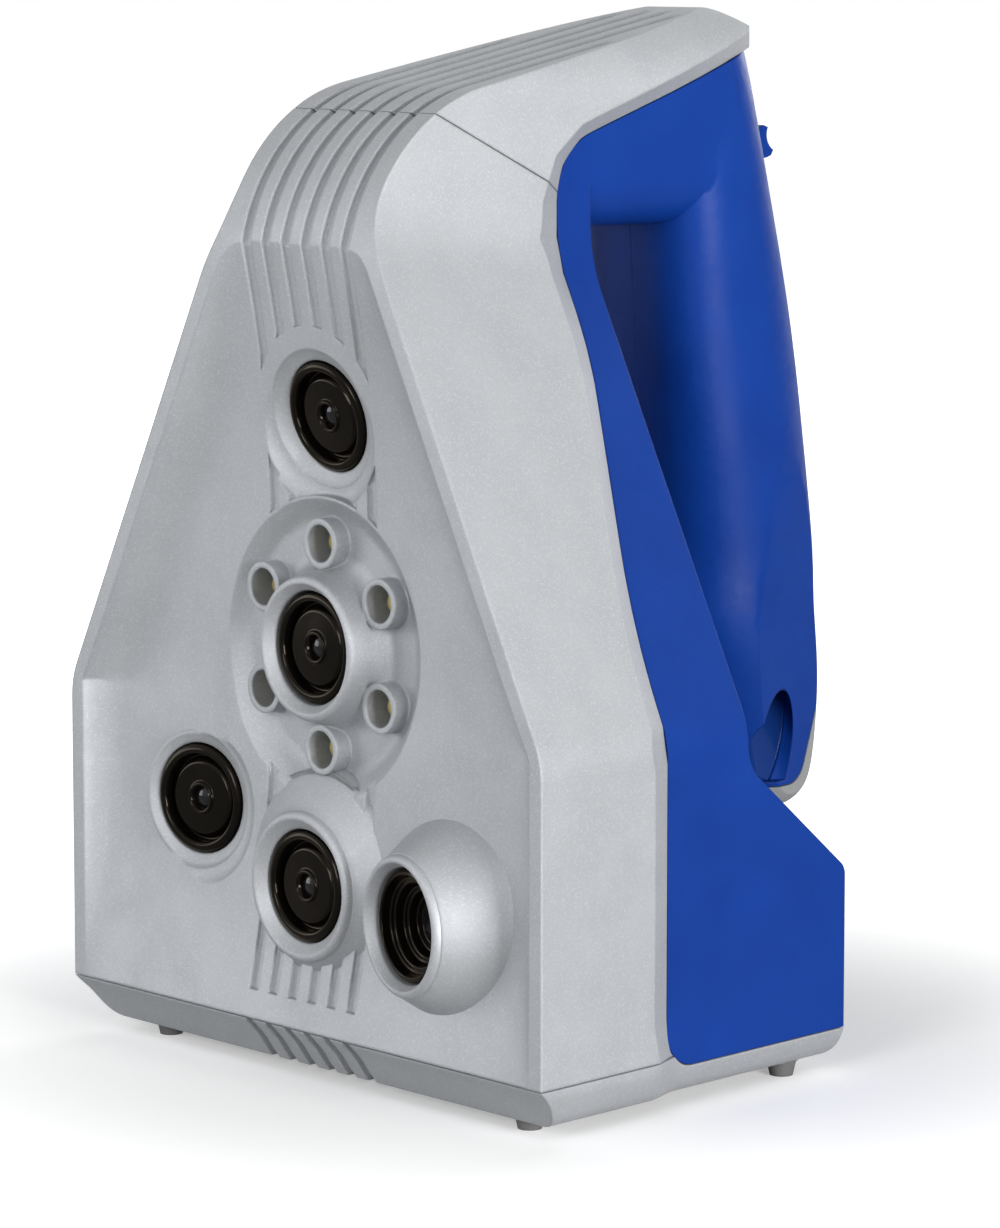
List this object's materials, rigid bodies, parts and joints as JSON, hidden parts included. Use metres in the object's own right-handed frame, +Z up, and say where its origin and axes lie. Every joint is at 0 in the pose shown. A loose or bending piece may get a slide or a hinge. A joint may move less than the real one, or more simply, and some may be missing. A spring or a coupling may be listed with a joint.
{
  "type": "handheld three-d scanner",
  "caption": "Handheld structured-light scanner: wedge-shaped head with dished lens face, flash ring and projector, ribbed top vents, and a rear grip with a rocker and cable pockets.",
  "frame": {"origin": "on the table under the middle of the bounding box", "axes": "+Z up from the table, lenses face -Y, the grip is at +Y, +X is on the right as seen from behind the grip"},
  "size_m": [0.13, 0.1289, 0.1902],
  "materials": {
    "silver_shell": "satin silver paint with a fine sparkle over moulded plastic",
    "blue_shell": "royal blue moulded plastic with a fine matt grain",
    "blue_button": "blue moulded plastic",
    "grey_cap": "satin grey moulded plastic",
    "pocket_blue": "glossy dark blue moulded plastic",
    "socket_black": "black moulded plastic",
    "foot_rubber": "grey rubber",
    "bench_aluminium": "milled aluminium",
    "black_metal": "black coated metal",
    "lens_barrel": "black anodised, satin, slightly warm",
    "lens_glass": "coated lens glass",
    "circuit_board": "green solder mask",
    "lamp_resin": "clear resin over yellow phosphor",
    "fan_plastic": "black moulded plastic",
    "steel": "plated steel"
  },
  "bodies": {
    "scanner": {"front_shell": "silver_shell", "top_cover": "silver_shell", "base_cover": "silver_shell", "rear_half_right": "blue_shell", "rear_half_left": "blue_shell", "grip_end_cap": "grey_cap", "socket_block": "pocket_blue", "power_socket": "socket_black", "data_socket": "socket_black", "feet": "foot_rubber", "optical_bench": "bench_aluminium", "projector_lamp_house": "black_metal", "projector_heat_sink": "bench_aluminium", "flash_ring_board": "circuit_board", "flash_lamps": "lamp_resin", "main_board": "circuit_board", "board_standoffs": "steel", "power_board": "circuit_board", "fan_frame": "fan_plastic", "rocker_pin": "steel", "switch_board": "circuit_board", "tact_switches": "socket_black", "bench_screws": "steel", "base_screws": "steel", "grip_screws": "steel", "fan_screws": "steel", "top_camera_barrel": "lens_barrel", "top_camera_glass": "lens_glass", "top_camera_board": "circuit_board", "texture_camera_barrel": "lens_barrel", "texture_camera_glass": "lens_glass", "texture_camera_board": "circuit_board", "centre_camera_barrel": "lens_barrel", "centre_camera_glass": "lens_glass", "centre_camera_board": "circuit_board", "left_camera_barrel": "lens_barrel", "left_camera_glass": "lens_glass", "left_camera_board": "circuit_board", "projector_barrel": "lens_barrel", "projector_glass": "lens_glass"},
    "rocker": {"rocker_button": "blue_button"},
    "fan": {"fan_rotor": "fan_plastic"}
  },
  "joints": [
    {"name": "rocker_tilt", "type": "hinge", "parent": "scanner", "child": "rocker", "pos_m": [0, 0.04367, 0.16305], "axis": [1, 0, 0], "range_deg": [-5, 5], "stiffness_Nm_per_rad": 0.06},
    {"name": "fan_spin", "type": "hinge", "parent": "scanner", "child": "fan", "pos_m": [0, -0.01316, 0.17574], "axis": [0, -0.1994, 0.9799], "continuous": true}
  ]
}
